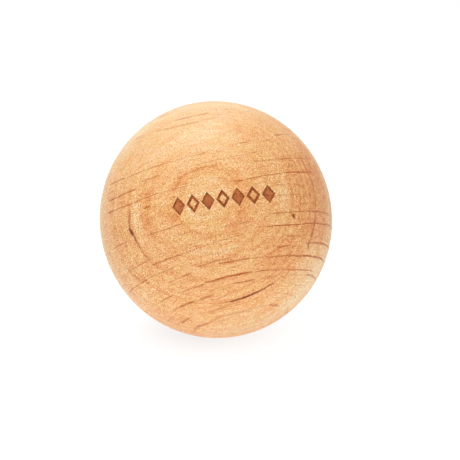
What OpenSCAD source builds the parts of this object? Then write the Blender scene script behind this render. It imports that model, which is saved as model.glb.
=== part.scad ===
// A solid wooden ball for the hand, turned on a lathe from one block and sanded smooth.
// The origin is the middle of the ball, +Z is up and -Y faces the viewer.

/* [Ball] */
// Diameter across the grain, the largest width of the ball
ball_d = 70; // [40:0.5:110]
// Length along the grain, which the turner's last cuts left a little short
ball_length = 68.5; // [36:0.1:110]

/* [Lie] */
// Angle at which the grain rises from left to right
grain_rise = 15; // [-90:1:90]

/* [Hidden] */
$fn = 180;

// Half of the turner's template: a true ellipse cut off at the lathe's axis, which stands along Y
module template() {
    intersection() {
        scale([1, ball_length / ball_d]) circle(d = ball_d);
        translate([0, -ball_length]) square([ball_d, 2 * ball_length]);
    }
}

// The ball in one piece, its template swept round the lathe's axis and laid along the grain
module ball() {
    color("burlywood")
        rotate([0, 90 - grain_rise, 0])
            rotate_extrude() template();
}

ball();
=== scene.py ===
"""Looks of a turned wooden ball: oiled alder with its growth rings, rays and flecks, and a burnt ornament."""
import logging
import math
from dataclasses import dataclass, field, replace
from enum import Enum
from typing import Callable, Iterable, Optional, Union

import bmesh
import bpy
from mathutils import Matrix, Vector


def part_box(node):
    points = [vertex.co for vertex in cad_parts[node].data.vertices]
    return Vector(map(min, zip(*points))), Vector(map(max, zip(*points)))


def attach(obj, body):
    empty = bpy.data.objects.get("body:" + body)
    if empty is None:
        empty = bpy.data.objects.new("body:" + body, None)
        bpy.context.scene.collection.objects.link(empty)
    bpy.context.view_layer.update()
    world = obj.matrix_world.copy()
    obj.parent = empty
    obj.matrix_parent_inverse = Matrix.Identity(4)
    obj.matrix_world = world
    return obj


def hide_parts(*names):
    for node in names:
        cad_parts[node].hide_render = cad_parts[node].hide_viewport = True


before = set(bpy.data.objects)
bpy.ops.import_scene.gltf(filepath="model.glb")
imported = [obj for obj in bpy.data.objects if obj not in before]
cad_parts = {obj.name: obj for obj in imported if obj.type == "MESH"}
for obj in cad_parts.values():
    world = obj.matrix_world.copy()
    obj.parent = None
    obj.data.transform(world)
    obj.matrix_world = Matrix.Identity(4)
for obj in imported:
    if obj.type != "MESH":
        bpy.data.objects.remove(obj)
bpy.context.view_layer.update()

MM = 0.001
MATH = "ShaderNodeMath"
VECTOR_MATH = "ShaderNodeVectorMath"
NOISE = "ShaderNodeTexNoise"
RAMP = "ShaderNodeValToRGB"
MIX = "ShaderNodeMix"
RANGE = "ShaderNodeMapRange"

log = logging.getLogger("wooden_ball")

Value = Union[float, tuple, bpy.types.NodeSocket]


def linear(colour: str) -> tuple[float, float, float, float]:
    """Turns an sRGB hex colour into linear light.

    Args:
        colour: The colour as #rrggbb.

    Returns:
        Linear red, green and blue, with an alpha of 1.
    """
    parts = [int(colour[k:k + 2], 16) / 255 for k in (1, 3, 5)]
    red, green, blue = (
        part / 12.92 if part <= 0.04045 else ((part + 0.055) / 1.055) ** 2.4 for part in parts
    )
    return red, green, blue, 1.0


def add_node(
    tree: bpy.types.NodeTree,
    kind: str,
    inputs: Optional[dict[Union[int, str], Value]] = None,
    output: Union[int, str] = 0,
    **settings: object,
) -> bpy.types.NodeSocket:
    """Adds a node, gives it its settings and feeds its inputs.

    Args:
        tree: The node tree that takes the node.
        kind: The node's type.
        inputs: Input index or name to a plain value, or to the socket that feeds it.
        output: Index or name of the output to hand back.
        **settings: Properties of the node itself.

    Returns:
        The chosen output socket.
    """
    node = tree.nodes.new(kind)
    for name, value in settings.items():
        setattr(node, name, value)
    for name, value in (inputs or {}).items():
        if isinstance(value, bpy.types.NodeSocket):
            tree.links.new(value, node.inputs[name])
        else:
            node.inputs[name].default_value = value
    return node.outputs[output] if len(node.outputs) else None


class Overlap(Enum):
    """What strokes do where they cross: the darkest wins, or they add up."""

    DARKEST = "MAXIMUM"
    SUMMED = "ADD"


def limit(tree: bpy.types.NodeTree, value: bpy.types.NodeSocket) -> bpy.types.NodeSocket:
    """Keeps a value between 0 and 1.

    It does so with two nodes, because the clamp option makes Cycles hold every stroke in memory at once.

    Args:
        tree: The node tree.
        value: The value.

    Returns:
        The value, no less than 0 and no more than 1.
    """
    above = add_node(tree, MATH, {0: value, 1: 0.0}, operation="MAXIMUM")
    return add_node(tree, MATH, {0: above, 1: 1.0}, operation="MINIMUM")


@dataclass(frozen=True)
class Grain:
    """How the wood lies in the ball, with sizes in millimetres.

    The grain axes are l, along the grain, t, across it, and r, towards the heart of the tree.
    """

    rise: float = math.radians(15)
    roll: float = math.radians(24)
    heart: float = 190.0

    def axes(self) -> Matrix:
        """Gives the matrix whose rows are the grain axes in the part's frame."""
        along = Vector((math.cos(self.rise), 0, math.sin(self.rise)))
        upright = Vector((-math.sin(self.rise), 0, math.cos(self.rise)))
        radial = upright * math.sin(self.roll) - Vector((0, 1, 0)) * math.cos(self.roll)
        across = radial.cross(along)
        return Matrix((along, across, radial))

    def sheet(self, along: float, across: float, radius: float) -> float:
        """Tells which sheet of rays, all of which meet at the heart, passes a place on the front.

        Args:
            along: The place along the grain.
            across: The place across the grain.
            radius: Radius of the ball.

        Returns:
            The sheet's place across the grain where the rings touch the front of the ball.
        """
        front = math.sqrt(max(radius ** 2 - along ** 2 - across ** 2, 0.0))
        return across * (self.heart - radius) / (self.heart - front)


@dataclass(frozen=True)
class Stroke:
    """One straight line, spot or shade in the wood.

    Attributes:
        start: Where it begins, as two numbers whose meaning its list gives.
        end: Where it ends.
        tone: How dark it is, from 0 to 1, or how much paler if it is below 0.
        width: Half its thickness, in mm.
        blunt: How strong it still is at its ends, from 0 to 1.
        fade: How far from an end it reaches its full strength, in the unit of its first number.
    """

    start: tuple[float, float]
    end: tuple[float, float]
    tone: float
    width: float = 0.17
    blunt: float = 0.2
    fade: float = 1.0


@dataclass(frozen=True)
class LozengeRow:
    """A burnt row of lozenges, every other one hollow, with sizes in millimetres."""

    count: int = 7
    pitch: float = 4.0
    half_width: float = 1.75
    half_height: float = 2.5
    hollow: float = 0.55
    depth: float = 0.3
    wall: float = 0.12
    along: float = 5.5
    across: float = -0.8
    turn: float = math.radians(-5)

    def middle(self, number: int) -> float:
        """Gives the place of one lozenge along the row."""
        return (number - (self.count - 1) / 2) * self.pitch

    def is_hollow(self, number: int) -> bool:
        """Tells whether this lozenge is an outline only."""
        return number % 2 == 1

    def place(self, u: float, v: float) -> Vector:
        """Turns a point of the row into a point in the grain axes, in metres.

        Args:
            u: Distance along the row, in mm.
            v: Distance across the row, in mm.

        Returns:
            The point, at no height.
        """
        turned = Matrix.Rotation(self.turn, 2) @ Vector((u, v))
        return Vector(((turned.x + self.along) * MM, (turned.y + self.across) * MM, 0))

    def local(self, point: Vector) -> tuple[float, float]:
        """Turns a point in the grain axes into distances along and across the row, in mm."""
        flat = Vector((point.x / MM - self.along, point.y / MM - self.across))
        turned = Matrix.Rotation(-self.turn, 2) @ flat
        return turned.x, turned.y

    def reach(self, u: float, v: float, number: int) -> float:
        """Gives 0 in the middle of a lozenge and 1 on its outline."""
        return abs(u - self.middle(number)) / self.half_width + abs(v) / self.half_height


@dataclass(frozen=True)
class OiledAlder:
    """Oiled alder, turned and sanded, which shows pink-brown wood with a low silky gloss."""

    pale: str = "#f6d8a8"
    body: str = "#f1b97d"
    brown: str = "#e39355"
    line: str = "#a34c1e"
    ray: str = "#bf5512"
    stain: str = "#862a0a"
    burnt: str = "#cc7e4c"
    scorched: str = "#93411c"
    roughness: float = 0.42
    burnt_roughness: float = 0.85
    refraction: float = 1.47
    gloss: float = 0.28
    lean: float = -0.05
    spacing: float = 3.3
    # Depth behind the front of the ball, and the tone of the rings there, where 0.5 is plain and less is paler
    rings: tuple[tuple[float, float], ...] = (
        (0.0, 0.36), (0.6, 0.38), (0.85, 0.56), (1.05, 0.48), (1.35, 0.60), (1.7, 0.53), (2.5, 0.50),
        (3.1, 0.51), (3.6, 0.49), (4.7, 0.61), (5.2, 0.53), (5.9, 0.48), (7.3, 0.47), (7.9, 0.50),
        (8.4, 0.60), (8.9, 0.53), (10.2, 0.53), (11.3, 0.58), (12.0, 0.51), (13.6, 0.50), (14.4, 0.61),
        (15.0, 0.55), (17.0, 0.50), (18.2, 0.48), (19.5, 0.46), (21.6, 0.54), (23.0, 0.50),
    )
    # Parts of rings that stand out, by the bearing round the front, in degrees to the right of the lower side,
    # and by depth; the pale ones along the rim are partly painted sheen
    ring_stretches_and_rim_sheen: tuple[Stroke, ...] = (
        Stroke((60, 12.5), (118, 12.5), 0.08, 5.0, 0.0, 12),
        Stroke((60, 15.8), (118, 15.8), 0.08, 0.9, 0.0, 12),
        Stroke((60, 19.0), (118, 19.0), 0.12, 1.8, 0.0, 12),
        Stroke((56, 21.0), (125, 21.0), 0.15, 4.0, 0.0, 12),
        Stroke((-118, 7.0), (-72, 7.0), -0.2, 0.8, 0.0, 12),
        Stroke((60, 6.8), (110, 6.8), -0.07, 0.9, 0.0, 12),
        Stroke((-105, 5.2), (-62, 5.2), 0.14, 0.7, 0.0, 12),
        Stroke((-165, 4.8), (-105, 4.8), 0.1, 2.0, 0.0, 12),
        Stroke((20, 2.0), (118, 2.0), 0.08, 1.0, 0.0, 12),
        Stroke((-30, 3.7), (30, 3.7), -0.1, 0.8, 0.0, 12),
        Stroke((-30, 5.2), (40, 5.2), 0.06, 0.7, 0.0, 12),
        Stroke((-30, 22.0), (24, 22.0), -0.09, 3.5, 0.0, 12),
        Stroke((24, 19.5), (62, 19.5), -0.08, 3.0, 0.0, 12),
        Stroke((24, 9.5), (64, 9.5), 0.12, 5.0, 0.0, 12),
        Stroke((64, 8.5), (106, 8.5), 0.08, 0.2, 0.0, 12),
        Stroke((58, 9.6), (112, 9.6), 0.1, 0.24, 0.0, 12),
        Stroke((52, 10.7), (96, 10.7), 0.1, 0.2, 0.0, 12),
        Stroke((66, 11.9), (116, 11.8), 0.09, 0.26, 0.0, 12),
        Stroke((50, 13.0), (108, 12.8), 0.12, 0.22, 0.0, 12),
        Stroke((60, 14.0), (118, 14.0), 0.1, 0.22, 0.0, 12),
        Stroke((60, 15.1), (114, 15.1), 0.12, 0.26, 0.0, 12),
        Stroke((50, 16.6), (76, 16.4), 0.22, 0.6, 0.0, 8),
        Stroke((66, 16.3), (112, 16.3), 0.14, 0.8, 0.0, 12),
        # Pale wood along the rim, made paler as painted sheen: the whitening of the lit edge, strongest on the
        # lower right
        Stroke((10, 28.5), (66, 27.5), -0.4, 6.5, 0.0, 18),
        Stroke((-24, 29.5), (20, 29.5), -0.2, 6.0, 0.0, 12),
        Stroke((-108, 28.5), (-48, 28.5), -0.14, 5.5, 0.0, 14),
        Stroke((-168, 25.0), (-95, 25.0), -0.16, 7.0, 0.0, 14),
        Stroke((-122, 24.0), (-80, 24.0), -0.08, 4.0, 0.0, 12),
        Stroke((130, 21.5), (230, 21.5), -0.16, 3.0, 0.0, 14),
        Stroke((-230, 21.5), (-130, 21.5), -0.16, 3.0, 0.0, 14),
        Stroke((8, 13.3), (74, 13.2), 0.13, 0.4, 0.0, 12),
        Stroke((28, 15.5), (62, 15.5), 0.07, 0.5, 0.0, 10),
        Stroke((26, 18.8), (96, 18.8), -0.06, 0.7, 0.0, 10),
        Stroke((-64, 7.6), (2, 7.6), 0.08, 0.5, 0.0, 12),
        Stroke((-34, 5.5), (4, 5.5), 0.08, 0.4, 0.0, 10),
        Stroke((-124, 5.0), (-84, 5.0), 0.08, 0.8, 0.0, 12),
        Stroke((-4, 8.5), (36, 8.5), -0.06, 0.4, 0.0, 12),
        Stroke((144, 13.4), (179, 13.4), 0.1, 0.5, 0.0, 8),
        Stroke((0, 16.4), (34, 16.4), 0.08, 0.5, 0.0, 10),
        Stroke((-4, 20.4), (36, 20.4), -0.13, 1.3, 0.0, 10),
        Stroke((60, 25.8), (92, 25.6), -0.12, 1.2, 0.0, 10),
        Stroke((84, 8.4), (158, 8.4), -0.09, 0.45, 0.0, 12),
        Stroke((112, 4.0), (178, 4.0), -0.11, 0.5, 0.0, 12),
    )
    # Brown and pale patches at the front, along and across the grain; two pale ones over the top are painted sheen
    clouds_and_top_sheen: tuple[Stroke, ...] = (
        Stroke((12.5, 19.5), (16.0, 16.0), 0.12, 2.6, 1.0),
        Stroke((0.5, 12.0), (5.5, 12.2), 0.08, 1.6, 1.0),
        Stroke((-19.5, 18.0), (-16.5, 18.0), 0.08, 2.4, 1.0),
        Stroke((-5.5, 6.6), (-3.5, 7.6), 0.12, 1.4, 1.0),
        Stroke((0.0, 8.6), (5.5, 8.4), 0.12, 0.9, 1.0),
        Stroke((-10.5, -1.0), (-8.5, -1.8), 0.10, 2.2, 1.0),
        Stroke((16.0, -1.0), (20.5, -2.5), -0.10, 2.4, 1.0),
        Stroke((8.0, 6.0), (8.5, 8.5), -0.10, 1.8, 1.0),
        Stroke((24.5, -12.0), (27.5, -14.5), 0.10, 2.4, 1.0),
        Stroke((2.0, 20.0), (6.0, 20.5), -0.10, 3.0, 1.0),
        # Painted sheen: a wide pale patch over the upper front
        Stroke((-12.0, 21.0), (6.0, 22.0), -0.18, 13.0, 1.0),
        Stroke((-4.5, -2.5), (-3.0, -5.5), -0.12, 2.0, 1.0),
        # Painted sheen along the top rim
        Stroke((-14.0, 31.0), (12.0, 32.0), -0.12, 5.0, 1.0),
        Stroke((-24.0, -20.0), (-21.0, -17.5), -0.08, 2.6, 1.0),
        Stroke((-25.5, 0.0), (-25.0, -5.0), 0.06, 2.4, 1.0),
    )
    # Long brown rays, thin sheets from the heart outwards, by their places along and across the grain at the front
    rays: tuple[Stroke, ...] = (
        Stroke((-3.0, 26.4), (7.0, 26.1), 0.5, 0.27),
        Stroke((10.0, 26.9), (15.0, 26.5), 0.3),
        Stroke((-9.0, 24.5), (4.2, 23.6), 0.5, 0.23),
        Stroke((4.0, 23.7), (10.0, 24.0), 0.35),
        Stroke((-8.0, 13.2), (5.0, 12.9), 0.35),
        Stroke((12.5, 14.1), (15.5, 13.8), 0.8),
        Stroke((15.0, 14.0), (17.2, 14.1), 0.6),
        Stroke((19.2, 13.9), (21.8, 13.8), 0.65),
        Stroke((22.5, 15.3), (25.4, 15.7), 0.9),
        Stroke((25.2, 15.8), (27.6, 16.2), 0.65),
        Stroke((15.2, 10.4), (17.9, 10.4), 0.65),
        Stroke((0.0, 10.1), (16.0, 10.1), 0.35),
        Stroke((0.0, 9.0), (6.5, 8.8), 0.5),
        Stroke((-3.7, 8.5), (0.5, 8.6), 0.45),
        Stroke((-5.3, 7.6), (-3.8, 7.8), 0.85, 0.23),
        Stroke((-3.2, 6.9), (0.3, 6.9), 0.45),
        Stroke((15.5, 7.6), (21.2, 7.7), 0.7),
        Stroke((22.2, 7.7), (26.2, 7.7), 0.85),
        Stroke((26.0, 7.7), (31.5, 8.1), 0.5),
        Stroke((4.5, 4.6), (8.2, 4.5), 0.4),
        Stroke((9.5, 3.1), (12.3, 3.0), 1.0, 0.23),
        Stroke((12.0, 3.2), (17.5, 3.3), 0.8),
        Stroke((17.2, 3.4), (22.8, 3.4), 0.95),
        Stroke((22.6, 3.4), (30.6, 3.6), 0.95, 0.19),
        Stroke((-25.8, 14.1), (-19.7, 13.4), 0.95, 0.2),
        Stroke((-19.9, 13.4), (-12.9, 13.2), 0.6),
        Stroke((-13.4, 13.2), (-7.2, 13.2), 0.6),
        Stroke((-27.4, 11.8), (-24.2, 11.5), 0.6),
        Stroke((-27.2, 9.4), (-23.4, 9.2), 1.0, 0.23),
        Stroke((-23.8, 9.1), (-17.1, 8.8), 0.95, 0.2),
        Stroke((-16.8, 10.4), (-9.4, 10.2), 0.6),
        Stroke((-28.0, 6.2), (-25.2, 5.9), 1.0, 0.33),
        Stroke((-25.6, 5.8), (-18.6, 5.4), 0.95),
        Stroke((-19.2, 5.4), (-10.8, 5.4), 0.85),
        Stroke((-11.4, 5.2), (-5.0, 5.4), 0.35),
        Stroke((-16.7, 2.8), (-13.9, 2.7), 1.0, 0.25),
        Stroke((-28.9, -3.8), (-23.0, -3.9), 0.65, 0.19),
        Stroke((-17.4, -4.6), (-6.4, -4.5), 0.75),
        Stroke((16.4, -7.2), (21.4, -7.4), 0.85),
        Stroke((20.9, -7.4), (25.8, -7.6), 0.95, 0.19),
        Stroke((25.6, -7.6), (33.2, -8.2), 0.8),
        Stroke((7.3, -8.3), (11.2, -8.0), 0.65),
        Stroke((14.4, -10.4), (24.2, -10.9), 1.0, 0.19),
        Stroke((23.8, -10.9), (33.2, -11.6), 0.9, 0.2),
        Stroke((-8.8, -12.0), (8.8, -11.0), 0.5),
        Stroke((-18.4, -12.4), (-8.4, -12.0), 0.8, 0.18),
        Stroke((-29.0, -16.0), (-23.4, -15.5), 0.65),
        Stroke((-23.7, -15.5), (-20.3, -15.3), 0.95, 0.2),
        Stroke((-20.5, -15.2), (-11.8, -14.7), 0.6),
        Stroke((-1.0, -14.4), (8.0, -14.0), 0.3),
        Stroke((15.8, -16.0), (19.7, -16.0), 0.85),
        Stroke((23.8, -15.8), (30.6, -16.6), 0.9, 0.19),
        Stroke((-6.0, -16.2), (4.0, -16.2), 0.6),
        Stroke((-0.4, -17.0), (8.7, -17.4), 0.9, 0.19),
        Stroke((8.5, -17.5), (13.2, -17.7), 0.4),
        Stroke((12.8, -17.9), (21.2, -18.8), 0.75),
        Stroke((-15.2, -17.9), (-10.8, -17.6), 0.5),
        Stroke((-11.2, -17.6), (-7.8, -17.4), 0.85),
        Stroke((19.8, -18.8), (25.4, -19.3), 1.0, 0.22),
        Stroke((24.4, -19.2), (27.9, -20.0), 1.0, 0.22),
        Stroke((-5.4, -20.6), (8.4, -20.8), 1.0, 0.23),
        Stroke((8.2, -21.0), (12.9, -21.3), 0.85),
        Stroke((12.4, -21.3), (17.6, -21.9), 0.5),
        Stroke((-13.2, -21.1), (-8.3, -21.0), 0.5),
        Stroke((-9.2, -21.0), (-5.0, -20.9), 0.9),
        Stroke((-19.5, -21.8), (-14.2, -21.2), 0.7),
        Stroke((16.8, -22.0), (24.2, -23.0), 0.7),
        Stroke((2.0, -22.6), (8.3, -22.8), 0.75),
        Stroke((9.6, -23.1), (14.4, -22.8), 0.4),
        Stroke((17.3, -23.3), (19.7, -23.2), 0.55),
        Stroke((21.3, -23.7), (24.7, -24.5), 0.65),
        Stroke((-8.2, -24.4), (-3.4, -24.0), 0.75, 0.2),
        Stroke((-5.4, -25.2), (0.2, -25.0), 0.45),
        Stroke((-17.2, -24.8), (-13.8, -24.6), 0.6),
        Stroke((-14.6, -24.6), (-9.3, -24.3), 0.9, 0.2),
        Stroke((-19.7, -26.7), (-16.6, -26.0), 0.5),
        Stroke((-15.9, -28.3), (-12.2, -27.8), 0.75),
        Stroke((-13.4, -30.9), (-7.6, -30.3), 0.8, 0.19),
        Stroke((-8.6, -30.3), (3.6, -29.7), 0.45, 0.18),
        Stroke((3.0, -29.7), (10.2, -29.8), 0.25),
        Stroke((9.6, -29.9), (12.4, -30.2), 0.7),
    )
    # Dark spots and the dark seams where the tree closed over small wounds, along and across the grain at the front
    seams: tuple[Stroke, ...] = (
        Stroke((-20.6, 3.4), (-21.4, 1.0), 0.5, 0.44, 0.8),
        Stroke((-21.4, 1.0), (-21.7, -1.2), 0.65, 0.44, 1.0),
        Stroke((-21.7, -1.2), (-21.2, -2.8), 1.0, 0.56, 1.0),
        Stroke((-21.2, -2.8), (-20.6, -4.8), 0.75, 0.4, 1.0),
        Stroke((-20.6, -4.8), (-20.0, -7.0), 0.5, 0.34, 1.0),
        Stroke((-20.0, -7.0), (-19.3, -9.2), 0.25, 0.32, 1.0),
        Stroke((-19.3, -9.2), (-18.5, -10.6), 0.4, 0.34, 1.0),
        Stroke((-18.5, -10.6), (-17.5, -12.3), 0.3, 0.32, 1.0),
        Stroke((-27.0, -7.6), (-26.0, -10.6), 0.2, 0.4, 1.0),
        Stroke((-26.0, -10.6), (-25.1, -12.2), 0.35, 0.3, 1.0),
        Stroke((-25.1, -12.2), (-23.5, -14.2), 0.5, 0.24, 0.8),
        Stroke((-23.5, -14.2), (-22.5, -15.1), 0.4, 0.22, 1.0),
        Stroke((-4.0, -26.5), (0.2, -26.7), 0.4, 0.2, 0.3),
        Stroke((0.0, -26.7), (4.6, -26.5), 1.0, 0.27, 1.0),
        Stroke((4.6, -26.5), (9.0, -25.7), 0.95, 0.27, 1.0),
        Stroke((9.0, -25.7), (12.5, -24.6), 0.8, 0.22, 1.0),
        Stroke((12.5, -24.6), (16.0, -23.0), 0.35, 0.2, 0.4),
        Stroke((22.4, -8.4), (22.5, -8.9), 1.0, 0.4, 1.0),
        Stroke((24.4, -15.9), (24.2, -17.4), 0.65, 0.26, 0.7),
        Stroke((-21.3, -16.1), (-20.8, -16.2), 0.6, 0.32, 1.0),
        Stroke((24.7, 5.9), (24.6, 5.1), 0.5, 0.26, 1.0),
        Stroke((25.5, 5.8), (25.4, 5.4), 0.35, 0.22, 1.0),
        Stroke((27.5, 17.2), (27.4, 18.5), 0.35, 0.24, 0.6),
        Stroke((30.2, 3.1), (30.2, 5.0), 0.3, 0.28, 0.6),
        Stroke((-27.0, 10.0), (-27.0, 11.9), 0.3, 0.3, 0.6),
        Stroke((-26.8, 1.3), (-25.9, 0.8), 0.6, 0.24, 1.0),
        Stroke((-27.2, -0.4), (-27.1, -1.0), 0.45, 0.2, 1.0),
        Stroke((-26.9, 5.4), (-26.6, 4.4), 0.35, 0.3, 0.6),
        Stroke((-24.3, -4.3), (-24.0, -5.2), 0.4, 0.22, 0.8),
        Stroke((-15.7, -1.3), (-15.6, -2.2), 0.35, 0.28, 0.8),
    )

    def add_stroke_group(self) -> bpy.types.NodeTree:
        """Makes the node group that draws one stroke, which tapers to both of its ends.

        Returns:
            A group with the inputs point, start, end, width, blunt, fade and tone, and one output.
        """
        group = bpy.data.node_groups.new("grain_stroke", "ShaderNodeTree")
        for name in ("point", "start", "end"):
            group.interface.new_socket(name, in_out="INPUT", socket_type="NodeSocketVector")
        for name in ("width", "blunt", "fade", "tone"):
            group.interface.new_socket(name, in_out="INPUT", socket_type="NodeSocketFloat")
        group.interface.new_socket("darkness", in_out="OUTPUT", socket_type="NodeSocketFloat")
        given = group.nodes.new("NodeGroupInput").outputs
        step = add_node(group, VECTOR_MATH, {0: given["end"], 1: given["start"]}, operation="SUBTRACT")
        offset = add_node(group, VECTOR_MATH, {0: given["point"], 1: given["start"]}, operation="SUBTRACT")
        along = add_node(group, VECTOR_MATH, {0: offset, 1: step}, output="Value", operation="DOT_PRODUCT")
        square = add_node(group, VECTOR_MATH, {0: step, 1: step}, output="Value", operation="DOT_PRODUCT")
        share = limit(group, add_node(group, MATH, {0: along, 1: square}, operation="DIVIDE"))
        nearest = add_node(group, VECTOR_MATH, {0: step, "Scale": share}, operation="SCALE")
        away = add_node(group, VECTOR_MATH, {0: offset, 1: nearest}, output="Value", operation="DISTANCE")
        left = add_node(group, MATH, {0: 1.0, 1: share}, operation="SUBTRACT")
        inner = add_node(group, MATH, {0: share, 1: left}, operation="MINIMUM")
        length = add_node(group, VECTOR_MATH, {0: step}, output="Value", operation="LENGTH")
        inside = add_node(group, MATH, {0: inner, 1: length}, operation="MULTIPLY")
        grown = add_node(group, MATH, {0: inside, 1: given["fade"]}, operation="DIVIDE")
        window = limit(group, add_node(group, MATH, {0: grown, 1: given["blunt"]}, operation="ADD"))
        taper = add_node(group, MATH, {0: window, 1: 0.5, 2: 0.5}, operation="MULTIPLY_ADD")
        half = add_node(group, MATH, {0: given["width"], 1: taper}, operation="MULTIPLY")
        part = add_node(group, MATH, {0: away, 1: half}, operation="DIVIDE")
        core = limit(group, add_node(group, MATH, {0: 1.3, 1: part}, operation="SUBTRACT"))
        soft = add_node(group, MATH, {0: core, 1: window}, operation="MULTIPLY")
        dark = add_node(group, MATH, {0: soft, 1: given["tone"]}, operation="MULTIPLY")
        result = group.nodes.new("NodeGroupOutput")
        group.links.new(dark, result.inputs["darkness"])
        return group

    def draw(
        self,
        tree: bpy.types.NodeTree,
        group: bpy.types.NodeTree,
        point: bpy.types.NodeSocket,
        strokes: Iterable[Stroke],
        overlap: Overlap,
    ) -> bpy.types.NodeSocket:
        """Draws a list of strokes.

        Args:
            tree: The material's node tree.
            group: The group that draws one stroke.
            point: The two numbers that place these strokes, as a vector.
            strokes: The strokes.
            overlap: What they do where they cross.

        Returns:
            How dark they are at the point.
        """
        total = None
        for stroke in strokes:
            given = {
                "point": point,
                "start": (*stroke.start, 0),
                "end": (*stroke.end, 0),
                "width": stroke.width,
                "blunt": stroke.blunt,
                "fade": stroke.fade,
                "tone": stroke.tone,
            }
            drawn = add_node(tree, "ShaderNodeGroup", given, node_tree=group)
            if total is None:
                total = drawn
            else:
                total = add_node(tree, MATH, {0: total, 1: drawn}, operation=overlap.value)
        return total

    def material(self, grain: Grain, radius: float, row: LozengeRow) -> bpy.types.Material:
        """Makes the wood as one solid pattern, so that it runs through the ball as real wood does.

        Args:
            grain: How the wood lies.
            radius: Radius of the ball across the grain, in mm.
            row: The burnt ornament.

        Returns:
            The finished material.
        """
        material = bpy.data.materials.new("oiled_alder")
        material.use_nodes = True
        tree = material.node_tree
        tree.nodes.clear()
        objects = add_node(tree, "ShaderNodeTexCoord", output="Object")
        turn = grain.axes().to_euler("XYZ")
        place = add_node(
            tree, "ShaderNodeMapping", {"Vector": objects, "Rotation": turn, "Scale": (1 / MM,) * 3}
        )
        split = tree.nodes.new("ShaderNodeSeparateXYZ")
        tree.links.new(place, split.inputs[0])
        l, t, r = split.outputs
        front = add_node(tree, RANGE, {"Value": r, "From Min": -4.0, "From Max": 2.0}, clamp=True)
        group = self.add_stroke_group()
        flat = self.uneven(tree, place, l, t)

        depth = self.ring_depth(tree, grain, radius, place, l, front)
        rings = self.ring_tone(tree, depth)
        # Some pale tones added below are painted sheen, along the rim and over the top
        ring_and_rim_sheen = self.ring_and_rim_sheen_tone(tree, group, depth, l, t, front)
        clouds_and_top_sheen = self.draw(tree, group, flat, self.clouds_and_top_sheen, Overlap.SUMMED)
        cloud_and_top_sheen = add_node(tree, MATH, {0: clouds_and_top_sheen, 1: front}, operation="MULTIPLY")
        fibre = self.fibre_tone(tree, place, depth)
        tone = rings
        for part in (ring_and_rim_sheen, cloud_and_top_sheen, fibre):
            tone = add_node(tree, MATH, {0: tone, 1: part}, operation="ADD")
        wood = self.wood_colour(tree, tone)
        speckle = self.speckle(tree, place)
        speckled = self.speckled_colour(tree, place, l, t, wood, speckle)
        ray = self.ray_tone(tree, group, grain, radius, place, l, t, r, front)
        streaked = add_node(
            tree, MIX, {0: ray, 6: speckled, 7: linear(self.ray)}, output=2, data_type="RGBA"
        )
        seams = self.draw(tree, group, flat, self.seams, Overlap.DARKEST)
        seam = add_node(tree, MATH, {0: seams, 1: front}, operation="MULTIPLY")
        stain = add_node(
            tree, MIX, {0: seam, 6: linear(self.ray), 7: linear(self.stain)}, output=2, data_type="RGBA"
        )
        stained = add_node(tree, MIX, {0: seam, 6: streaked, 7: stain}, output=2, data_type="RGBA")
        burnt, reach = self.burnt_area(tree, row, l, t, r)
        colour = self.burnt_colour(tree, place, burnt, reach, stained, speckle)
        roughness = add_node(
            tree, MIX, {0: burnt, 2: self.roughness, 3: self.burnt_roughness}, data_type="FLOAT"
        )
        bump = add_node(
            tree, "ShaderNodeBump", {"Strength": 0.2, "Distance": 0.06 * MM, "Height": speckle}
        )
        finish = {
            "Base Color": colour,
            "Roughness": roughness,
            "IOR": self.refraction,
            "Specular IOR Level": self.gloss,
            "Normal": bump,
        }
        surface = add_node(tree, "ShaderNodeBsdfPrincipled", finish)
        add_node(tree, "ShaderNodeOutputMaterial", {"Surface": surface})
        return material

    def ring_depth(
        self,
        tree: bpy.types.NodeTree,
        grain: Grain,
        radius: float,
        place: bpy.types.NodeSocket,
        along: bpy.types.NodeSocket,
        front: bpy.types.NodeSocket,
    ) -> bpy.types.NodeSocket:
        """Measures how far a point lies behind the ring that touches the front of the ball.

        Args:
            tree: The material's node tree.
            grain: How the wood lies.
            radius: Radius of the ball across the grain, in mm.
            place: The point in the grain axes, in mm.
            along: The point's place along the grain, in mm.
            front: 1 at the front and 0 behind.

        Returns:
            The depth in mm, with the slow sway of real rings.
        """
        from_heart = add_node(
            tree,
            "ShaderNodeMapping",
            {"Vector": place, "Location": (0, 0, -grain.heart), "Scale": (0, 1, 1)},
        )
        distance = add_node(tree, VECTOR_MATH, {0: from_heart}, output="Value", operation="LENGTH")
        plain = add_node(
            tree, MATH, {0: distance, 1: grain.heart - radius}, operation="SUBTRACT"
        )
        leaning = add_node(tree, MATH, {0: along, 1: self.lean, 2: plain}, operation="MULTIPLY_ADD")
        sway = add_node(
            tree, NOISE, {"Vector": place, "Scale": 1 / 14, "Detail": 3.0, "Roughness": 0.55}
        )
        centred = add_node(tree, MATH, {0: sway, 1: 0.5}, operation="SUBTRACT")
        swing = add_node(tree, RANGE, {"Value": front, "To Min": 2.6, "To Max": 1.1}, clamp=True)
        return add_node(tree, MATH, {0: centred, 1: swing, 2: leaning}, operation="MULTIPLY_ADD")

    def uneven(
        self,
        tree: bpy.types.NodeTree,
        place: bpy.types.NodeSocket,
        l: bpy.types.NodeSocket,
        t: bpy.types.NodeSocket,
    ) -> bpy.types.NodeSocket:
        """Gives the place along and across the grain, moved a little so that edges are never ruled.

        Args:
            tree: The material's node tree.
            place: The point in the grain axes, in mm.
            l: Place along the grain.
            t: Place across the grain.

        Returns:
            The two numbers as a vector.
        """
        flat = add_node(tree, "ShaderNodeCombineXYZ", {0: l, 1: t})
        noise = add_node(tree, NOISE, {"Vector": place, "Scale": 1 / 1.1, "Detail": 2.0}, output="Color")
        centred = add_node(tree, VECTOR_MATH, {0: noise, 1: (0.5, 0.5, 0.5)}, operation="SUBTRACT")
        return add_node(
            tree, VECTOR_MATH, {0: centred, 1: (0.7, 0.7, 0), 2: flat}, operation="MULTIPLY_ADD"
        )

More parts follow.
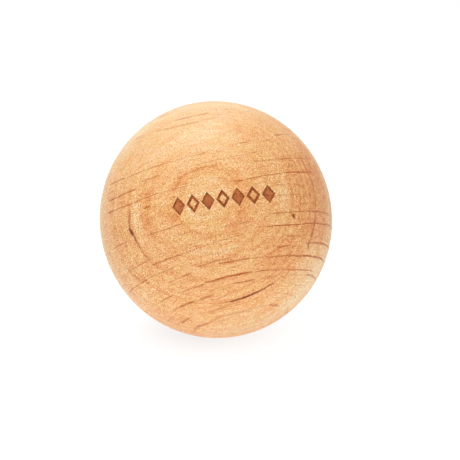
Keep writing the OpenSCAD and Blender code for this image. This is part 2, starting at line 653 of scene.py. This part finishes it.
    def ring_tone(
        self, tree: bpy.types.NodeTree, depth: bpy.types.NodeSocket
    ) -> bpy.types.NodeSocket:
        """Gives the tone of the growth rings, from the placed ones in front to even ones behind.

        Args:
            tree: The material's node tree.
            depth: The depth from ring_depth.

        Returns:
            The tone, from 0 for pale to 1 for dark.
        """
        last = self.rings[-1][0]
        share = add_node(tree, MATH, {0: depth, 1: last}, operation="DIVIDE")
        front = add_node(tree, RAMP, {"Fac": share})
        self.fill_ramp(front.node, [(d / last, (tone,) * 3) for d, tone in self.rings])
        turns = add_node(
            tree, MATH, {0: depth, 1: 1 / self.spacing, 2: -last / self.spacing},
            operation="MULTIPLY_ADD",
        )
        phase = add_node(tree, MATH, {0: turns}, operation="FRACT")
        behind = add_node(tree, RAMP, {"Fac": phase})
        even = ((0, 0.6), (0.2, 0.54), (0.6, 0.47), (0.85, 0.38), (0.95, 0.42), (1, 0.6))
        self.fill_ramp(behind.node, [(position, (tone,) * 3) for position, tone in even])
        far = add_node(
            tree, RANGE, {"Value": depth, "From Min": last - 1, "From Max": last}, clamp=True
        )
        return add_node(tree, MIX, {0: far, 2: front, 3: behind}, data_type="FLOAT")

    def fill_ramp(
        self, node: bpy.types.Node, stops: list[tuple[float, tuple[float, ...]]]
    ) -> None:
        """Sets a ramp's stops.

        Args:
            node: The ramp's node.
            stops: Pairs of position and linear colour, in order.
        """
        ramp = node.color_ramp
        while len(ramp.elements) < len(stops):
            ramp.elements.new(1.0)
        for element, (position, colour) in zip(ramp.elements, stops):
            element.position = position
            element.color = (*colour[:3], 1)

    def ring_and_rim_sheen_tone(
        self,
        tree: bpy.types.NodeTree,
        group: bpy.types.NodeTree,
        depth: bpy.types.NodeSocket,
        l: bpy.types.NodeSocket,
        t: bpy.types.NodeSocket,
        front: bpy.types.NodeSocket,
    ) -> bpy.types.NodeSocket:
        """Darkens or pales the parts of the rings that stand out, and pales the rim as painted sheen.

        Args:
            tree: The material's node tree.
            group: The group that draws one stroke.
            depth: The depth from ring_depth.
            l: Place along the grain.
            t: Place across the grain.
            front: 1 at the front and 0 behind.

        Returns:
            The tone to add.
        """
        down = add_node(tree, MATH, {0: t, 1: -1.0}, operation="MULTIPLY")
        bearing = add_node(tree, MATH, {0: l, 1: down}, operation="ARCTAN2")
        degrees = add_node(tree, MATH, {0: bearing}, operation="DEGREES")
        round_front = add_node(tree, "ShaderNodeCombineXYZ", {0: degrees, 1: depth})
        drawn = self.draw(tree, group, round_front, self.ring_stretches_and_rim_sheen, Overlap.SUMMED)
        return add_node(tree, MATH, {0: drawn, 1: front}, operation="MULTIPLY")

    def ray_tone(
        self,
        tree: bpy.types.NodeTree,
        group: bpy.types.NodeTree,
        grain: Grain,
        radius: float,
        place: bpy.types.NodeSocket,
        l: bpy.types.NodeSocket,
        t: bpy.types.NodeSocket,
        r: bpy.types.NodeSocket,
        front: bpy.types.NodeSocket,
    ) -> bpy.types.NodeSocket:
        """Draws the long rays, each in its plane through the heart of the tree.

        Args:
            tree: The material's node tree.
            group: The group that draws one stroke.
            grain: How the wood lies.
            radius: Radius of the ball across the grain, in mm.
            place: The point in the grain axes, in mm.
            l: Place along the grain.
            t: Place across the grain.
            r: Place towards the heart.
            front: 1 at the front and 0 behind.

        Returns:
            How dark the rays are at the point.
        """
        gap = add_node(tree, MATH, {0: grain.heart, 1: r}, operation="SUBTRACT")
        fan = add_node(tree, MATH, {0: t, 1: gap}, operation="DIVIDE")
        fanned = add_node(tree, MATH, {0: fan, 1: grain.heart - radius}, operation="MULTIPLY")
        wander = add_node(tree, NOISE, {"Vector": place, "Scale": 1 / 6, "Detail": 2.0})
        moved = add_node(tree, MATH, {0: wander, 1: 0.5}, operation="SUBTRACT")
        sheet = add_node(tree, MATH, {0: moved, 1: 0.6, 2: fanned}, operation="MULTIPLY_ADD")
        in_sheets = add_node(tree, "ShaderNodeCombineXYZ", {0: l, 1: sheet})
        moved_to_sheets = [
            replace(
                ray,
                start=(ray.start[0], grain.sheet(*ray.start, radius)),
                end=(ray.end[0], grain.sheet(*ray.end, radius)),
            )
            for ray in self.rays
        ]
        drawn = self.draw(tree, group, in_sheets, moved_to_sheets, Overlap.DARKEST)
        placed = add_node(tree, MATH, {0: drawn, 1: front}, operation="MULTIPLY")
        drawn_out = add_node(
            tree, "ShaderNodeMapping", {"Vector": place, "Scale": (1 / 4, 1 / 1.2, 1 / 1.2)}
        )
        broken = add_node(tree, NOISE, {"Vector": drawn_out, "Scale": 1.0, "Detail": 2.0})
        strength = add_node(
            tree, RANGE,
            {"Value": broken, "From Min": 0.35, "From Max": 0.62, "To Min": 0.66, "To Max": 1.1}, clamp=True,
        )
        placed = add_node(tree, MATH, {0: placed, 1: strength}, operation="MULTIPLY")
        deep = add_node(tree, "ShaderNodeCombineXYZ", {0: l, 1: sheet, 2: r})
        stretched = add_node(
            tree, "ShaderNodeMapping", {"Vector": deep, "Scale": (1 / 11, 1 / 0.5, 1 / 45)}
        )
        field_ = add_node(tree, NOISE, {"Vector": stretched, "Scale": 1.0, "Detail": 1.0})
        others = add_node(
            tree, RANGE, {"Value": field_, "From Min": 0.64, "From Max": 0.8}, clamp=True
        )
        share = add_node(
            tree, RANGE, {"Value": front, "To Min": 0.95, "To Max": 0.5}, clamp=True
        )
        scattered = add_node(tree, MATH, {0: others, 1: share}, operation="MULTIPLY")
        return add_node(tree, MATH, {0: placed, 1: scattered}, operation="MAXIMUM")

    def fibre_tone(
        self,
        tree: bpy.types.NodeTree,
        place: bpy.types.NodeSocket,
        depth: bpy.types.NodeSocket,
    ) -> bpy.types.NodeSocket:
        """Gives the soft uneven tone of the fibres, and the fine lines within each ring.

        Args:
            tree: The material's node tree.
            place: The point in the grain axes, in mm.
            depth: The depth from ring_depth.

        Returns:
            The tone to add, about 0 on average.
        """
        stretched = add_node(
            tree, "ShaderNodeMapping", {"Vector": place, "Scale": (1 / 5.0, 1 / 1.3, 1 / 1.3)}
        )
        fibres = add_node(
            tree, NOISE, {"Vector": stretched, "Scale": 1.0, "Detail": 2.0, "Roughness": 0.6}
        )
        lines = add_node(
            tree, NOISE, {"W": depth, "Scale": 1 / 0.9, "Detail": 1.5}, noise_dimensions="1D"
        )
        hairlines = add_node(
            tree, NOISE, {"W": depth, "Scale": 1 / 0.42, "Detail": 1.0}, noise_dimensions="1D"
        )
        tone = add_node(tree, MATH, {0: fibres, 1: 0.6, 2: -0.3}, operation="MULTIPLY_ADD")
        for pattern, strength in ((lines, 0.3), (hairlines, 0.24)):
            fine = add_node(
                tree, MATH, {0: pattern, 1: strength, 2: -strength / 2}, operation="MULTIPLY_ADD"
            )
            tone = add_node(tree, MATH, {0: tone, 1: fine}, operation="ADD")
        return tone

    def speckle(
        self, tree: bpy.types.NodeTree, place: bpy.types.NodeSocket
    ) -> bpy.types.NodeSocket:
        """Gives the fine dots of the pores, which are longer along the grain.

        Real pores are about 0.06 mm wide, too fine to show, so they are drawn 0.3 mm wide.

        Args:
            tree: The material's node tree.
            place: The point in the grain axes, in mm.

        Returns:
            0 in the darkest dots, 1 in the palest, and about 0.5 on average.
        """
        stretched = add_node(
            tree, "ShaderNodeMapping", {"Vector": place, "Scale": (1 / 0.3, 1 / 0.21, 1 / 0.21)}
        )
        pores = add_node(
            tree, NOISE, {"Vector": stretched, "Scale": 1.0, "Detail": 1.0, "Roughness": 0.5}
        )
        return add_node(
            tree, RANGE, {"Value": pores, "From Min": 0.32, "From Max": 0.68}, clamp=True
        )

    def wood_colour(
        self, tree: bpy.types.NodeTree, tone: bpy.types.NodeSocket
    ) -> bpy.types.NodeSocket:
        """Colours the wood between its rays, from 0 for the palest to 1 for the darkest.

        Args:
            tree: The material's node tree.
            tone: The tone at the point.

        Returns:
            The colour.
        """
        wood = add_node(tree, RAMP, {"Fac": tone})
        stops = ((0.0, self.pale), (0.5, self.body), (0.78, self.brown), (1.0, self.line))
        self.fill_ramp(wood.node, [(position, linear(colour)) for position, colour in stops])
        return wood

    def speckled_colour(
        self,
        tree: bpy.types.NodeTree,
        place: bpy.types.NodeSocket,
        l: bpy.types.NodeSocket,
        t: bpy.types.NodeSocket,
        wood: bpy.types.NodeSocket,
        speckle: bpy.types.NodeSocket,
    ) -> bpy.types.NodeSocket:
        """Darkens and lightens the wood by its speckle, and lets its hue drift from pink to yellow.

        The pores show most where the surface cuts across them, towards the two ends of the grain.

        Args:
            tree: The material's node tree.
            place: The point in the grain axes, in mm.
            l: Place along the grain.
            t: Place across the grain.
            wood: The wood's colour.
            speckle: The dots of the pores.

        Returns:
            The colour with the dots.
        """
        dark = (0.8, 0.5, 0.26, 1)
        light = (1.2, 1.5, 1.74, 1)
        pink = (1.005, 0.985, 1.03, 1)
        yellow = (0.995, 1.015, 0.97, 1)
        side = add_node(tree, MATH, {0: l}, operation="ABSOLUTE")
        ends = add_node(
            tree, RANGE,
            {"Value": side, "From Min": 10.0, "From Max": 28.0, "To Min": 1.15, "To Max": 1.7}, clamp=True,
        )
        upper = add_node(
            tree, RANGE, {"Value": t, "From Min": 4.0, "From Max": 24.0, "To Min": 1.0, "To Max": 0.62}, clamp=True
        )
        strength = add_node(tree, MATH, {0: ends, 1: upper}, operation="MULTIPLY")
        centred = add_node(tree, MATH, {0: speckle, 1: 0.5}, operation="SUBTRACT")
        shown = add_node(tree, MATH, {0: centred, 1: strength, 2: 0.5}, operation="MULTIPLY_ADD")
        shade = add_node(
            tree, MIX, {0: shown, 6: dark, 7: light}, output=2, data_type="RGBA", clamp_factor=False
        )
        drift = add_node(tree, NOISE, {"Vector": place, "Scale": 1 / 3.5, "Detail": 1.0})
        drifting = add_node(tree, RANGE, {"Value": drift, "From Min": 0.35, "From Max": 0.65}, clamp=True)
        hue = add_node(
            tree, MIX, {0: drifting, 6: pink, 7: yellow}, output=2, data_type="RGBA"
        )
        tinted = add_node(
            tree, MIX, {0: 1.0, 6: wood, 7: hue}, output=2, data_type="RGBA", blend_type="MULTIPLY"
        )
        return add_node(
            tree, MIX, {0: 1.0, 6: tinted, 7: shade}, output=2, data_type="RGBA", blend_type="MULTIPLY"
        )

    def burnt_area(
        self,
        tree: bpy.types.NodeTree,
        row: LozengeRow,
        l: bpy.types.NodeSocket,
        t: bpy.types.NodeSocket,
        r: bpy.types.NodeSocket,
    ) -> tuple[bpy.types.NodeSocket, bpy.types.NodeSocket]:
        """Finds the lozenges that the beam burnt.

        Args:
            tree: The material's node tree.
            row: The ornament.
            l: Place along the grain.
            t: Place across the grain.
            r: Place towards the heart.

        Returns:
            1 where the wood is burnt and 0 elsewhere, and the reach, from 0 in a lozenge's middle to 1 on its
            outline.
        """
        flat = add_node(tree, "ShaderNodeCombineXYZ", {0: l, 1: t})
        turned = add_node(
            tree,
            "ShaderNodeMapping",
            {"Vector": flat, "Location": (row.along, row.across, 0), "Rotation": (0, 0, row.turn)},
            vector_type="TEXTURE",
        )
        split = tree.nodes.new("ShaderNodeSeparateXYZ")
        tree.links.new(turned, split.inputs[0])
        u, v = split.outputs[0], split.outputs[1]
        number = add_node(tree, MATH, {0: u, 1: row.pitch}, operation="DIVIDE")
        nearest = add_node(tree, MATH, {0: number}, operation="ROUND")
        off = add_node(tree, MATH, {0: nearest, 1: -row.pitch, 2: u}, operation="MULTIPLY_ADD")
        off_share = add_node(tree, MATH, {0: off, 1: row.half_width}, operation="DIVIDE")
        wide = add_node(tree, MATH, {0: off_share}, operation="ABSOLUTE")
        high_share = add_node(tree, MATH, {0: v, 1: row.half_height}, operation="DIVIDE")
        high = add_node(tree, MATH, {0: high_share}, operation="ABSOLUTE")
        reach = add_node(tree, MATH, {0: wide, 1: high}, operation="ADD")
        inside = add_node(
            tree, RANGE, {"Value": reach, "From Min": 1.06, "From Max": 0.98}, clamp=True
        )
        outline = add_node(
            tree, RANGE,
            {"Value": reach, "From Min": row.hollow - 0.08, "From Max": row.hollow + 0.02}, clamp=True,
        )
        even = add_node(tree, MATH, {0: nearest, 1: 1.0}, operation="PINGPONG")
        odd = add_node(tree, MATH, {0: even, 1: 0.5}, operation="GREATER_THAN")
        hollow_at_odd = (row.count - 1) // 2 % 2 == 0
        hollow_mask = odd if hollow_at_odd else add_node(
            tree, MATH, {0: 1.0, 1: odd}, operation="SUBTRACT"
        )
        opened = add_node(tree, MIX, {0: hollow_mask, 2: 1.0, 3: outline}, data_type="FLOAT")
        inner = add_node(tree, MATH, {0: inside, 1: opened}, operation="MULTIPLY")
        far = add_node(tree, MATH, {0: nearest}, operation="ABSOLUTE")
        within = add_node(tree, MATH, {0: far, 1: row.count / 2}, operation="LESS_THAN")
        front = add_node(tree, MATH, {0: r, 1: 0.0}, operation="GREATER_THAN")
        there = add_node(tree, MATH, {0: within, 1: front}, operation="MULTIPLY")
        return add_node(tree, MATH, {0: inner, 1: there}, operation="MULTIPLY"), reach

    def burnt_colour(
        self,
        tree: bpy.types.NodeTree,
        place: bpy.types.NodeSocket,
        burnt: bpy.types.NodeSocket,
        reach: bpy.types.NodeSocket,
        wood: bpy.types.NodeSocket,
        speckle: bpy.types.NodeSocket,
    ) -> bpy.types.NodeSocket:
        """Browns the burnt wood, unevenly along its fibres and darkest along the outlines.

        Args:
            tree: The material's node tree.
            place: The point in the grain axes, in mm.
            burnt: 1 where the wood is burnt.
            reach: 0 in a lozenge's middle and 1 on its outline.
            wood: The plain wood's colour.
            speckle: The dots of the pores.

        Returns:
            The colour with the ornament.
        """
        rim = add_node(
            tree, RANGE, {"Value": reach, "From Min": 0.6, "From Max": 1.0, "To Min": 0.25}, clamp=True
        )
        uneven = add_node(tree, MATH, {0: speckle, 1: -0.8, 2: 0.4}, operation="MULTIPLY_ADD")
        drawn_out = add_node(
            tree, "ShaderNodeMapping", {"Vector": place, "Scale": (1 / 1.8, 1 / 0.7, 1 / 0.7)}
        )
        fibres = add_node(tree, NOISE, {"Vector": drawn_out, "Scale": 1.0, "Detail": 1.0})
        streaks = add_node(tree, MATH, {0: fibres, 1: 1.8, 2: -0.9}, operation="MULTIPLY_ADD")
        charred = rim
        for part in (uneven, streaks):
            charred = add_node(tree, MATH, {0: charred, 1: part}, operation="ADD")
        char = add_node(
            tree, MIX,
            {0: limit(tree, charred), 6: linear(self.burnt), 7: linear(self.scorched)}, output=2,
            data_type="RGBA",
        )
        return add_node(tree, MIX, {0: burnt, 6: wood, 7: char}, output=2, data_type="RGBA")


@dataclass
class TurnedBall:
    """The ball itself, turned from one block, with its ornament burnt into the front."""

    grain: Grain
    row: LozengeRow
    finish: OiledAlder
    name: str = "turned_ball"
    profile_steps: int = 160
    turns: int = 320
    across: float = field(init=False)
    along: float = field(init=False)

    def __post_init__(self) -> None:
        """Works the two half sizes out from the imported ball, in metres."""
        low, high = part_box("ball")
        half = (high - low) / 2
        self.across = half.y
        lean = self.across * math.sin(self.grain.rise)
        self.along = math.sqrt(half.x ** 2 - lean ** 2) / math.cos(self.grain.rise)

    def build(self) -> bpy.types.Object:
        """Models and dresses the ball.

        Returns:
            The finished piece, in the part's frame.
        """
        ball = self.turn_on_lathe()
        self.burn_row()
        bpy.ops.object.mode_set(mode="OBJECT")
        ball.matrix_world = self.grain.axes().transposed().to_4x4()
        bpy.ops.object.transform_apply(location=True, rotation=True, scale=True)
        bpy.ops.object.shade_smooth_by_angle(angle=math.radians(35))
        ball.data.materials.clear()
        ball.data.materials.append(self.finish.material(self.grain, self.across / MM, self.row))
        return ball

    def turn_on_lathe(self) -> bpy.types.Object:
        """Sweeps half an ellipse round the lathe's axis, which stays along X here.

        Returns:
            The ball's object, left in edit mode.
        """
        bpy.ops.object.select_all(action="DESELECT")
        bpy.ops.mesh.primitive_circle_add(vertices=2 * self.profile_steps, radius=self.across)
        ball = bpy.context.object
        ball.name = self.name
        ball.data.name = self.name
        bpy.ops.object.mode_set(mode="EDIT")
        self.select_vertices(lambda point: point.y < -self.across * 1e-4)
        bpy.ops.mesh.delete(type="VERT")
        bpy.ops.mesh.select_all(action="SELECT")
        bpy.ops.transform.resize(value=(self.along / self.across, 1, 1))
        bpy.ops.mesh.spin(steps=self.turns, angle=math.tau, center=(0, 0, 0), axis=(1, 0, 0))
        bpy.ops.mesh.select_all(action="SELECT")
        bpy.ops.mesh.remove_doubles(threshold=0.001 * MM)
        bpy.ops.mesh.normals_make_consistent(inside=False)
        return ball

    def burn_row(self) -> None:
        """Cuts each lozenge's outline into the front faces and sinks what lies inside it."""
        row = self.row
        reach = row.count * row.pitch / 2
        self.select_faces(lambda u, v, side: side > 0 and abs(u) < reach and abs(v) < row.half_height + 1)
        bpy.ops.mesh.hide(unselected=True)
        for number in range(row.count):
            sizes = (1.0, row.hollow) if row.is_hollow(number) else (1.0,)
            for size in sizes:
                for right in (-1, 1):
                    for up in (-1, 1):
                        self.cut_edge(number, size, right, up)
        self.select_faces(self.in_lozenge)
        bpy.ops.mesh.inset(
            thickness=row.wall * MM, depth=-row.depth * MM, use_even_offset=True, use_relative_offset=False
        )
        bpy.ops.mesh.reveal(select=False)

    def cut_edge(self, number: int, size: float, right: int, up: int) -> None:
        """Cuts the front faces of one lozenge along one of its straight edges.

        Args:
            number: Which lozenge.
            size: Share of the lozenge's full size.
            right: 1 for the edge on its right, -1 for its left.
            up: 1 for its upper edge, -1 for its lower one.
        """
        row = self.row
        middle = row.middle(number)
        self.select_faces(
            lambda u, v, side: side > 0
            and abs(u - middle) < row.pitch / 2
            and abs(v) < row.half_height + 0.8
        )
        side_point = row.place(middle + right * size * row.half_width, 0)
        top_point = row.place(middle, up * size * row.half_height)
        normal = (top_point - side_point).cross(Vector((0, 0, 1)))
        bpy.ops.mesh.bisect(plane_co=side_point, plane_no=normal.normalized(), threshold=0.0005 * MM)

    def in_lozenge(self, u: float, v: float, side: float) -> bool:
        """Tells whether a place on the ball lies in a burnt part of the row.

        Args:
            u: Distance along the row, in mm.
            v: Distance across the row, in mm.
            side: Height towards the heart, above 0 on the front.

        Returns:
            True where the wood is burnt away.
        """
        row = self.row
        if side <= 0:
            return False
        for number in range(row.count):
            reach = row.reach(u, v, number)
            if reach < 1 and not (row.is_hollow(number) and reach < row.hollow):
                return True
        return False

    def select_vertices(self, wanted: Callable[[Vector], bool]) -> None:
        """Selects only the vertices at the wanted places.

        Args:
            wanted: Says of a point whether its vertex is taken.
        """
        mesh = bmesh.from_edit_mesh(bpy.context.object.data)
        for vertex in mesh.verts:
            vertex.select_set(wanted(vertex.co))
        mesh.select_flush(True)
        bmesh.update_edit_mesh(bpy.context.object.data)

    def select_faces(self, wanted: Callable[[float, float, float], bool]) -> None:
        """Selects only the faces at the wanted places.

        Args:
            wanted: Says of distances along and across the row, and of the height, whether to take a face.
        """
        mesh = bmesh.from_edit_mesh(bpy.context.object.data)
        bpy.ops.mesh.select_mode(type="FACE")
        for face in mesh.faces:
            if not face.hide:
                middle = face.calc_center_median()
                face.select_set(wanted(*self.row.local(middle), middle.z))
        bmesh.update_edit_mesh(bpy.context.object.data)


@dataclass(frozen=True)
class Lamp:
    """A square white lamp that faces the ball.

    Attributes:
        name: Name of the lamp.
        place: Where it hangs, in metres from the middle of the ball.
        size: Length of its side, in metres.
        level: How bright it makes a white face that looks at it, where 1 is plain white.
        mirrored: Whether it shows in the gloss.
    """

    name: str
    place: tuple[float, float, float]
    size: float
    level: float
    mirrored: bool = True

    def power(self) -> float:
        """Gives the lamp's power in watts."""
        return self.level * math.pi ** 2 * Vector(self.place).length_squared


@dataclass
class Studio:
    """A pale floor, plain soft light and a camera, none of them part of the object."""

    lens: float = 85.0
    sensor: float = 36.0
    distance: float = 0.3225
    elevation: float = math.radians(15)
    frame_px: float = 460.0
    ball_px: tuple[float, float] = (215.93, 219.55)
    lamps: tuple[Lamp, ...] = (
        Lamp("soft_box_above", (0.0, 0.0, 1.8), 1.2, 0.34),
        Lamp("soft_box_left", (-0.9, 0.0, 1.6), 1.2, 0.31),
        Lamp("soft_box_back", (0.0, 1.0, 1.6), 1.2, 0.28),
        Lamp("soft_box_front", (0.0, -1.6, 1.3), 1.0, 0.43, mirrored=False),
        Lamp("soft_box_right", (1.5, -0.2, 0.25), 1.0, 0.09, mirrored=False),
    )

    def place_camera(self, middle: Vector) -> None:
        """Sets the camera at the photograph's angle, with the ball where the picture has it.

        Args:
            middle: The middle of the ball.
        """
        data = bpy.data.cameras.new("camera")
        data.lens = self.lens
        data.sensor_width = self.sensor
        data.shift_x = (self.frame_px / 2 - self.ball_px[0]) / self.frame_px
        data.shift_y = (self.ball_px[1] - self.frame_px / 2) / self.frame_px
        data.clip_start = 0.01
        camera = bpy.data.objects.new("camera", data)
        bpy.context.scene.collection.objects.link(camera)
        back = Vector((0, -math.cos(self.elevation), math.sin(self.elevation)))
        camera.location = middle + back * self.distance
        camera.rotation_euler = (math.pi / 2 - self.elevation, 0, 0)
        bpy.context.scene.camera = camera

    def add_floor(self, height: float) -> bpy.types.Object:
        """Lays the pale floor under the ball, with a painted contact shadow where the camera and the gloss see it.

        Args:
            height: Height of the floor.

        Returns:
            The floor.
        """
        bpy.ops.object.select_all(action="DESELECT")
        bpy.ops.mesh.primitive_plane_add(size=6, location=(0, 0, height))
        floor = bpy.context.object
        floor.name = "floor"
        bpy.ops.object.transform_apply(location=True, rotation=True, scale=True)
        material = bpy.data.materials.new("white_card")
        material.use_nodes = True
        tree = material.node_tree
        tree.nodes.clear()
        shown = self.shown(tree)
        plain = add_node(tree, "ShaderNodeBsdfDiffuse", {"Color": (0.8, 0.8, 0.8, 1)})
        backlight = add_node(tree, "ShaderNodeEmission", {"Color": (1, 1, 1, 1), "Strength": 0.45})
        card = add_node(tree, "ShaderNodeAddShader", {0: plain, 1: backlight})
        # Where it is seen, a dim diffuse catches the real shadow, and a glow that dims within 26 mm of a point 3 mm
        # left of the ball's foot paints a contact shadow
        shaded = add_node(tree, "ShaderNodeBsdfDiffuse", {"Color": (0.15, 0.15, 0.15, 1)})
        objects = add_node(tree, "ShaderNodeTexCoord", output="Object")
        painted_shadow_place = add_node(
            tree, "ShaderNodeMapping", {"Vector": objects, "Location": (0.003, 0, 0), "Scale": (1, 1, 0)}
        )
        away = add_node(tree, VECTOR_MATH, {0: painted_shadow_place}, output="Value", operation="LENGTH")
        level = add_node(
            tree, RANGE,
            {"Value": away, "From Min": 0.0, "From Max": 0.026, "To Min": 0.77, "To Max": 0.94}, clamp=True,
        )
        glow_with_painted_shadow = add_node(tree, "ShaderNodeEmission", {"Color": (1, 1, 1, 1), "Strength": level})
        bright = add_node(tree, "ShaderNodeAddShader", {0: shaded, 1: glow_with_painted_shadow})
        surface = add_node(tree, "ShaderNodeMixShader", {0: shown, 1: card, 2: bright})
        add_node(tree, "ShaderNodeOutputMaterial", {"Surface": surface})
        floor.data.materials.append(material)
        return floor

    def shown(self, tree: bpy.types.NodeTree) -> bpy.types.NodeSocket:
        """Gives 1 where the camera, a reflection or a see-through part looks at a surface.

        Args:
            tree: The node tree that asks.

        Returns:
            1 for such a ray and 0 for one that lights other things.
        """
        path = tree.nodes.new("ShaderNodeLightPath").outputs
        seen = add_node(
            tree, MATH, {0: path["Is Camera Ray"], 1: path["Is Glossy Ray"]}, operation="MAXIMUM"
        )
        return add_node(
            tree, MATH, {0: seen, 1: path["Is Transmission Ray"]}, operation="MAXIMUM"
        )

    def light(self) -> None:
        """Lights the ball with soft boxes in a room that shows white in its gloss."""
        world = bpy.data.worlds.new("white_room")
        bpy.context.scene.world = world
        world.use_nodes = True
        tree = world.node_tree
        tree.nodes.clear()
        room = add_node(
            tree, "ShaderNodeBackground", {"Color": (1, 1, 1, 1), "Strength": self.shown(tree)}
        )
        add_node(tree, "ShaderNodeOutputWorld", {"Surface": room})
        for lamp in self.lamps:
            self.add_lamp(lamp)

    def add_lamp(self, lamp: Lamp) -> None:
        """Adds one lamp to the scene.

        Args:
            lamp: The lamp.
        """
        data = bpy.data.lights.new(lamp.name, "AREA")
        data.size = lamp.size
        data.energy = lamp.power()
        lit = bpy.data.objects.new(lamp.name, data)
        bpy.context.scene.collection.objects.link(lit)
        lit.location = lamp.place
        lit.rotation_euler = (-Vector(lamp.place)).to_track_quat("-Z", "Y").to_euler()
        lit.visible_camera = False
        lit.visible_glossy = lamp.mirrored


def main() -> None:
    """Builds the ball and the studio round it."""
    logging.basicConfig(level=logging.INFO, format="%(name)s: %(message)s")
    bpy.context.scene.view_settings.view_transform = "Standard"
    studio = Studio()
    studio.place_camera(Vector((0, 0, 0)))
    ball = TurnedBall(Grain(), LozengeRow(), OiledAlder())
    piece = ball.build()
    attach(piece, "root")
    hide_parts("ball")
    log.info("%s: %d faces", piece.name, len(piece.data.polygons))
    low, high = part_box("ball")
    studio.add_floor(low.z)
    studio.light()


if __name__ == "__main__":
    main()
